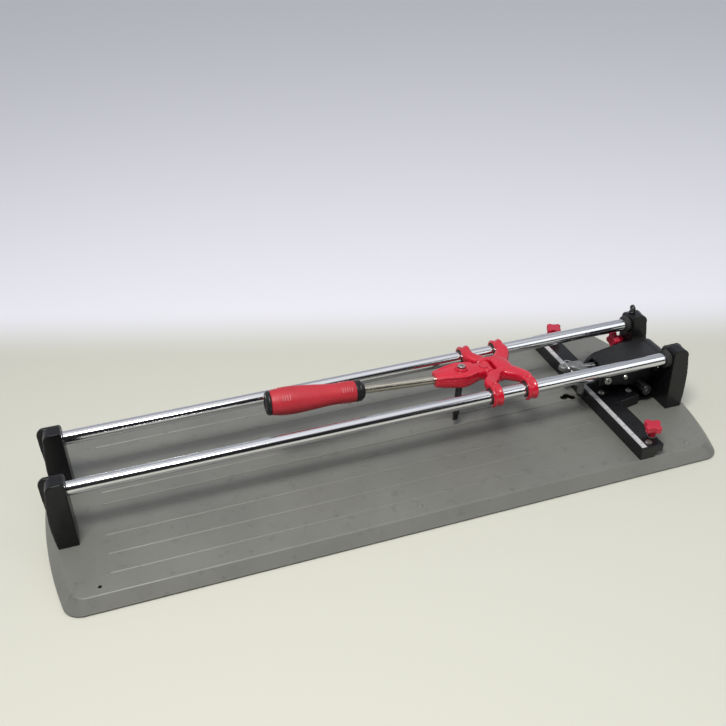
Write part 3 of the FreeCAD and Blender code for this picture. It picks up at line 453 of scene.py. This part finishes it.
def make_carriage():
    bm = bmesh.new()
    pivot = PIVOT / MM
    left, right = CLAW_XS[0] / MM, CLAW_XS[1] / MM
    hook_foot = RAIL_Y / MM - 6.0
    for row in (-1, 1):
        # cheek beside the lever's tongue
        tapered_arm(bm, [
            (pivot.x - 7.5, row * 16.2, pivot.z, 4.2, 7.0),
            (pivot.x, row * 16.2, pivot.z + 0.2, 4.2, 9.2),
            (pivot.x + 12.0, row * 15.6, pivot.z, 4.8, 9.8),
            (pivot.x + 22.0, row * 13.0, pivot.z - 0.2, 6.0, 9.6)])
        # short arm to the near claw
        tapered_arm(bm, [
            (pivot.x + 5.0, row * 15.0, pivot.z, 8.6, 7.6),
            (pivot.x - 3.0, row * 25.0, pivot.z + 0.6, 9.4, 7.4),
            (left + 1.0, row * 34.0, pivot.z + 2.0, 8.6, 7.0),
            (left, row * hook_foot, pivot.z + 4.6, 7.4, 5.2)])
        # long curved arm to the far claw
        tapered_arm(bm, [
            (pivot.x + 15.0, row * 6.0, pivot.z + 0.2, 11.0, 8.8),
            (pivot.x + 25.0, row * 14.5, pivot.z + 0.3, 11.4, 8.4),
            (pivot.x + 34.0, row * 25.0, pivot.z + 1.0, 10.0, 7.8),
            (right + 1.0, row * 35.0, pivot.z + 2.6, 8.6, 7.0),
            (right, row * hook_foot, pivot.z + 4.6, 7.4, 5.2)])
        for x in (left, right):
            hook(bm, x * MM, row, half_width=7.0, inner=10.55, outer=14.2, start=-14, end=262)
            for side in (-1, 1):
                rib_x = (x + side * 5.0) * MM
                hook(bm, rib_x, row, half_width=1.8, inner=12.0, outer=15.4, start=8, end=256)
    # saddle behind the lever's tongue, placed to clear it
    tapered_arm(bm, [
        (pivot.x + 9.2, 0, pivot.z + 0.2, 17.6, 9.6),
        (pivot.x + 20.0, 0, pivot.z + 0.2, 18.6, 9.9),
        (pivot.x + 28.0, 0, pivot.z - 0.4, 15.0, 9.2),
        (pivot.x + 33.0, 0, pivot.z - 1.2, 9.0, 7.0)], 3.4)
    piece = from_bmesh("carriage_casting", bm)
    cast(piece, 0.8, 6)
    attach(piece, "carriage")
    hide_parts("carriage")
    paint(piece, "red_enamel")


# ---- the red lever head --------------------------------------------------------------
SOCKET_MOUTH = -75.5         # in the lever's own millimetres, from the pivot
AXIS_DROP = -3.6             # height of the handle's axis over the pivot
TOOL_X = -38.0
PAD_PLACE = (-6.0, 0, 8.2)


def lever_ring(x, half_width, low, high, power):
    """A rounded ring across the lever, from low to high over its axis, in millimetres."""
    centre = on_lever((x, 0, (low + high) / 2))
    side = Y * half_width * MM
    up = on_lever((0, 0, (high - low) / 2)) - on_lever((0, 0, 0))
    return squircle(centre, side, up, power, 48)


def make_lever_head():
    bm = bmesh.new()
    # body: narrow round mouth, widest beside the tool screw, then a waist before the tongue
    sections = spline([
        (SOCKET_MOUTH, 10.6, -12.0, 5.0, 2.8), (-68.0, 12.4, -12.8, 5.8, 3.0), (-55.0, 15.6, -13.2, 6.8, 3.4),
        (-40.0, 18.4, -13.2, 7.8, 3.8), (-28.0, 16.6, -12.0, 8.4, 3.8), (-18.0, 13.0, -10.4, 8.8, 3.4),
        (-12.0, 11.4, -8.8, 8.8, 3.2)], 6)
    skin_rings(bm, [lever_ring(*section) for section in sections])
    # bead along the upper edge of each side
    for row in (-1, 1):
        bead = spline([
            (SOCKET_MOUTH + 0.6, row * 8.8, 2.6, 1.5), (-64.0, row * 11.6, 4.4, 1.6),
            (-52.0, row * 14.8, 5.2, 1.7), (-40.0, row * 16.8, 5.8, 1.8),
            (-28.0, row * 15.0, 6.6, 1.7), (-18.0, row * 11.6, 7.4, 1.5)], 6)
        rings = []
        for x, y, z, radius in bead:
            rings.append(squircle(on_lever((x, y, z)), Y * radius * MM, Z * radius * MM, 2.0, 16))
        skin_rings(bm, rings)
    # tongue on the pivot
    barrel = [(-0.0116, 0.0082), (-0.0112, 0.0088), (0.0112, 0.0088), (0.0116, 0.0082)]
    skin_rings(bm, turned_rings(barrel, PIVOT, Y))
    skin_rings(bm, [lever_ring(x, 11.4, -8.6, 8.8, 4.0) for x in (-14.0, -8.0, -2.0)])
    # ring round the tool screw, and the round pad on the tongue
    up = (on_lever((0, 0, 1)) - PIVOT).normalized()
    boss = [(0.0, 9.4), (4.0, 9.2), (6.6, 8.8), (7.6, 8.0), (7.6, 6.4), (6.6, 5.7), (2.0, 5.6)]
    rings = turned_rings([(d * MM, r * MM) for d, r in boss], on_lever((TOOL_X, 0, 4.0)), up)
    skin_rings(bm, rings)
    piece = from_bmesh("lever_head_casting", bm)
    cast(piece, 0.6, 4)
    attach(piece, "scoring_lever")
    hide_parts("lever_head")
    paint(piece, "red_enamel")
    pad = [(0.0, 6.4), (1.3, 6.4), (1.7, 6.0), (1.7, 4.6), (1.3, 4.3), (1.25, 0.6)]
    bm = bmesh.new()
    skin_rings(bm, turned_rings([(d * MM, r * MM) for d, r in pad], on_lever(PAD_PLACE), up))
    mark = from_bmesh("lever_head_pad", bm)
    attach(mark, "scoring_lever")
    paint(mark, "red_enamel")


# ---- the handle ----------------------------------------------------------------------
GRIP_START = -186.0          # along the lever, where the grip meets its collar
GRIP_LENGTH = 111.0
BAR_STEPS = 8
BAR_SWING = 26               # degrees of the grip's round that a bar covers


def along_handle(profile, smooth_steps=0):
    """(distance, radius) pairs in millimetres from the grip's collar end, towards the cap."""
    values = spline(profile, smooth_steps) if smooth_steps else profile
    return [(d * MM, r * MM) for d, r in values]


def make_handle():
    axis = (on_lever((-1, 0, 0)) - PIVOT).normalized()
    start = on_lever((GRIP_START, 0, AXIS_DROP))
    profile = [(0.0, 12.6), (0.8, 13.7), (10, 14.1), (24, 13.6), (36, 14.1), (58, 16.1), (82, 17.9),
               (100, 17.1), (109.4, 15.6), (GRIP_LENGTH, 14.6)]
    bm = bmesh.new()
    skin_rings(bm, turned_rings(along_handle(profile, 8), start, axis, 96))
    grip = from_bmesh("grip_rubber", bm)
    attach(grip, "scoring_lever")
    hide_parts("grip")
    paint(grip, "red_grip")

    # raised bars near the collar and at the far end, in four fans
    bm = bmesh.new()
    for first, step, count, radius in ((6.5, 3.1, 5, 13.8), (88.0, 3.1, 4, 17.5)):
        for quarter in range(4):
            turn = math.radians(45 + 90 * quarter)
            for k in range(count):
                rings = grip_bar(start, axis, first + step * k, radius, turn)
                skin_rings(bm, rings)
    bars = from_bmesh("grip_bars", bm)
    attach(bars, "scoring_lever")
    paint(bars, "red_grip", GRIP_MARK)

    profile = [(-12.0, 6.0), (-12.0, 9.4), (-11.2, 10.4), (-9.6, 11.6), (-8.2, 12.9), (-7.0, 13.6),
               (-5.6, 13.8), (-5.2, 13.2), (-4.6, 13.2), (-4.2, 13.9), (-0.6, 14.0), (0.3, 13.6), (0.6, 12.2)]
    bm = bmesh.new()
    skin_rings(bm, turned_rings(along_handle(profile), start, axis, 72))
    collar = from_bmesh("grip_collar_ring", bm)
    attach(collar, "scoring_lever")
    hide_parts("grip_collar")
    paint(collar, "black_plastic")

    profile = [(0.0, 14.2), (0.4, 15.5), (2.4, 15.6), (4.2, 14.7), (5.4, 12.9), (6.0, 9.8), (5.7, 7.0),
               (5.2, 6.3)]
    bm = bmesh.new()
    rings = turned_rings(along_handle(profile), start + axis * GRIP_LENGTH * MM, axis, 72)
    skin_rings(bm, rings)
    cap = from_bmesh("grip_cap_end", bm)
    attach(cap, "scoring_lever")
    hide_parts("grip_cap")
    paint(cap, "black_plastic")


def grip_bar(start, axis, distance, radius, turn):
    """Rings of one raised bar that lies round the grip."""
    centre = start + axis * distance * MM
    side = axis.cross(Y).normalized()
    out = side * math.cos(turn) + Y * math.sin(turn)
    across = axis.cross(out).normalized()
    rings = []
    for s in range(BAR_STEPS + 1):
        swing = math.radians(BAR_SWING * (s / BAR_STEPS - 0.5))
        way = out * math.cos(swing) + across * math.sin(swing)
        end = 0.35 if s in (0, BAR_STEPS) else 1.0
        rings.append(squircle(centre + way * radius * MM, axis * 0.6 * MM, way * 0.8 * end * MM, 2.2, 12))
    return rings


# ---- scale marks, spring wire ---------------------------------------------------------
TICK_PITCH = 2 * MM
TICKS_EACH_WAY = 73
TICKS_PER_LONG = 5
LONG_TICK = (3.6 * MM, 0.45 * MM)       # length and thickness
SHORT_TICK = (1.9 * MM, 0.28 * MM)
TICK_INSET = 0.3 * MM        # from the strip's edge to the ticks
INK_HEIGHT = 0.02 * MM       # how far the marks stand over the strip
INK_DEPTH = 0.1 * MM         # how far they reach into it
LAST_NUMBER = 14             # centimetres
NUMBER_STEP = 2
NUMBER_SIZE = 3.0 * MM
NUMBER_INSET = 4.3 * MM


def make_scale_marks():
    low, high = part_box("scale_strip")
    top = high.z + INK_HEIGHT
    left = low.x + TICK_INSET
    bm = bmesh.new()
    for i in range(-TICKS_EACH_WAY, TICKS_EACH_WAY + 1):
        y = i * TICK_PITCH
        length, thick = LONG_TICK if i % TICKS_PER_LONG == 0 else SHORT_TICK
        corners = [(left, y - thick / 2), (left + length, y - thick / 2),
                   (left + length, y + thick / 2), (left, y + thick / 2)]
        rings = [[Vector((x, v, z)) for x, v in corners] for z in (high.z - INK_DEPTH, top)]
        skin_rings(bm, rings)
    marks = from_bmesh("scale_marks", bm, smooth=False)
    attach(marks, "base")
    paint(marks, "scale_aluminium", SCALE_INK)
    for i in range(-LAST_NUMBER, LAST_NUMBER + 1, NUMBER_STEP):
        curve = bpy.data.curves.new("scale_number", "FONT")
        curve.body = str(abs(i))
        curve.size = NUMBER_SIZE
        curve.extrude = 0.04 * MM
        curve.align_x = "CENTER"
        number = add_object("number_source", curve)
        place = Matrix.Translation((low.x + NUMBER_INSET, i * 10 * MM, top))
        number.matrix_world = place @ Matrix.Rotation(math.radians(-90), 4, "Z")
        bpy.context.view_layer.update()
        graph = bpy.context.evaluated_depsgraph_get()
        mesh = bpy.data.meshes.new_from_object(number.evaluated_get(graph))
        mesh.transform(number.matrix_world)
        bpy.data.objects.remove(number)
        piece = add_object(f"scale_number_{'r' if i > 0 else 'f'}{abs(i)}", mesh)
        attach(piece, "base")
        paint(piece, "scale_aluminium", SCALE_INK)


WIRE_RADIUS = 0.8 * MM
WIRE_BEAD = Vector((266.6, -12.0, 80.6)) * MM


def make_spring_wire():
    path = spline([(330.0, 4.0, 64.7), (318.0, 4.0, 65.2), (306.0, 4.0, 66.2), (297.0, 4.0, 69.0),
                   (287.5, 4.0, 74.6), (276.0, 4.0, 80.8), (269.5, 3.6, 83.2), (267.0, 0.0, 83.2),
                   (266.6, -6.0, 81.9), (266.6, -11.5, 80.7)], 10)
    rings = []
    for i, point in enumerate(path):
        before, after = path[max(i - 1, 0)], path[min(i + 1, len(path) - 1)]
        along = Vector([b - a for a, b in zip(before, after)]).normalized()
        side = along.cross(Vector((0.1, 0.2, 1))).normalized()
        up = side.cross(along).normalized()
        rings.append(squircle(Vector(point) * MM, side * WIRE_RADIUS, up * WIRE_RADIUS, 2.0, 14))
    bm = bmesh.new()
    skin_rings(bm, rings)
    bead = [(-1.9, 0.5), (-1.7, 1.0), (-1.0, 1.6), (0.0, 1.9), (1.0, 1.6), (1.7, 1.0), (1.9, 0.5)]
    rings = turned_rings([(d * MM, r * MM) for d, r in bead], WIRE_BEAD, Y, 24)
    skin_rings(bm, rings)
    wire = from_bmesh("return_spring_wire", bm)
    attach(wire, "breaker_lever")
    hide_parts("return_spring")
    paint(wire, "spring_wire")


# ---- floor, light, camera --------------------------------------------------------------
FLOOR_SIZE = 6.0
FLOOR_GAP = 0.2 * MM         # from the floor up to what stands on it
FLOOR_NEAR = (0.58, 0.575, 0.50)
# painted light: the far tone is painted paler and bluer than the near one, as a painted lit wall, and
# brightened further to make up for the key light's falloff towards the back
FLOOR_FAR_PAINTED_LIGHT = (0.82, 0.82, 0.87)
FLOOR_SKEW = 0.334           # slope of the line along which the floor turns paler
FLOOR_BAND = (0.26, 0.44)    # metres behind the middle over which it does


def make_floor():
    bm = bmesh.new()
    bmesh.ops.create_grid(bm, x_segments=8, y_segments=8, size=FLOOR_SIZE)
    floor = from_bmesh("floor", bm, smooth=False)
    floor.location.z = min(cad_box[0][2], 0.0) - FLOOR_GAP
    material = bpy.data.materials.new("floor_paper_painted_light")
    material.use_nodes = True
    tree = material.node_tree
    shader = tree.nodes["Principled BSDF"]
    shader.inputs["Roughness"].default_value = 0.6
    place = tree.nodes.new("ShaderNodeTexCoord")
    split = tree.nodes.new("ShaderNodeSeparateXYZ")
    behind = tree.nodes.new("ShaderNodeMath")
    behind.operation = "MULTIPLY_ADD"
    behind.inputs[1].default_value = FLOOR_SKEW
    tree.links.new(place.outputs["Object"], split.inputs[0])
    tree.links.new(split.outputs["X"], behind.inputs[0])
    tree.links.new(split.outputs["Y"], behind.inputs[2])
    # painted light: past the line the floor is painted paler, as a painted lit wall and to make up for the
    # key light's falloff
    far = ranged(tree, behind.outputs[0], FLOOR_BAND, ease="SMOOTHSTEP")
    tree.links.new(mixed(tree, far, FLOOR_NEAR, FLOOR_FAR_PAINTED_LIGHT), shader.inputs["Base Color"])
    floor.data.materials.append(material)


FRONT_BAND = (-0.55, 0.25)   # Y of the direction, from the dark front to the pale back
TOP_BAND = (0.74, 0.93)      # Z of the direction, from the walls to the bright top
ROOM_FRONT = (0.025, 0.025, 0.028)
ROOM_BACK = (0.62, 0.64, 0.70)
ROOM_TOP = (1.25, 1.27, 1.32)
BACKDROP = (0.74, 0.75, 0.79)
WORLD_STRENGTH = 0.75


def make_world():
    """A room, bright above, pale behind and dark in front, and an even pale backdrop for the camera."""
    world = bpy.data.worlds.new("studio")
    bpy.context.scene.world = world
    world.use_nodes = True
    tree = world.node_tree
    place = tree.nodes.new("ShaderNodeTexCoord")
    split = tree.nodes.new("ShaderNodeSeparateXYZ")
    tree.links.new(place.outputs["Generated"], split.inputs[0])
    front = ranged(tree, split.outputs["Y"], FRONT_BAND, ease="SMOOTHSTEP")
    height = ranged(tree, split.outputs["Z"], TOP_BAND, ease="SMOOTHSTEP")
    walls = mixed(tree, front, ROOM_FRONT, ROOM_BACK)
    room = mixed(tree, height, walls, ROOM_TOP)
    seen = tree.nodes.new("ShaderNodeLightPath").outputs["Is Camera Ray"]
    background = tree.nodes["Background"]
    background.inputs["Strength"].default_value = WORLD_STRENGTH
    tree.links.new(mixed(tree, seen, room, BACKDROP), background.inputs["Color"])
    bpy.context.scene.view_settings.view_transform = "Standard"


def area_light(name, place, target, size, power, colour=(1, 1, 1)):
    light = bpy.data.lights.new(name, "AREA")
    light.shape = "RECTANGLE"
    light.size, light.size_y = size
    light.energy = power
    light.color = colour
    lamp = bpy.data.objects.new(name, light)
    bpy.context.scene.collection.objects.link(lamp)
    lamp.location = place
    lamp.rotation_euler = (Vector(target) - Vector(place)).to_track_quat("-Z", "Y").to_euler()


def make_lights():
    area_light("key", place=(-0.55, -0.80, 2.0), target=(0, 0, 0.05), size=(0.7, 0.5), power=38.0,
               colour=(1.0, 0.985, 0.95))
    area_light("fill", place=(1.6, -1.2, 1.3), target=(0.1, 0, 0.05), size=(1.4, 1.2), power=8.0,
               colour=(0.93, 0.96, 1.0))


CAMERA_PLACE = Vector((-0.3022, -0.8959, 0.7487))
CAMERA_YAW = math.radians(17.149)
CAMERA_PITCH = math.radians(32.653)
CAMERA_ROLL = math.radians(-1.79)
CAMERA_LENS = 43.72


def make_camera():
    ahead = Vector((math.sin(CAMERA_YAW) * math.cos(CAMERA_PITCH),
                    math.cos(CAMERA_YAW) * math.cos(CAMERA_PITCH), -math.sin(CAMERA_PITCH)))
    right = Vector((math.cos(CAMERA_YAW), -math.sin(CAMERA_YAW), 0))
    up = right.cross(ahead)
    side = right * math.cos(CAMERA_ROLL) + up * math.sin(CAMERA_ROLL)
    top = up * math.cos(CAMERA_ROLL) - right * math.sin(CAMERA_ROLL)
    data = bpy.data.cameras.new("camera")
    data.lens = CAMERA_LENS
    data.sensor_width = 36.0
    camera = bpy.data.objects.new("camera", data)
    bpy.context.scene.collection.objects.link(camera)
    turn = Matrix((side, top, -ahead)).transposed().to_4x4()
    camera.matrix_world = Matrix.Translation(CAMERA_PLACE) @ turn
    bpy.context.scene.camera = camera


make_camera()
make_world()
make_lights()
make_floor()
paint_nodes()
make_castings()
make_rails()
make_carriage()
make_lever_head()
make_handle()
make_scale_marks()
make_spring_wire()
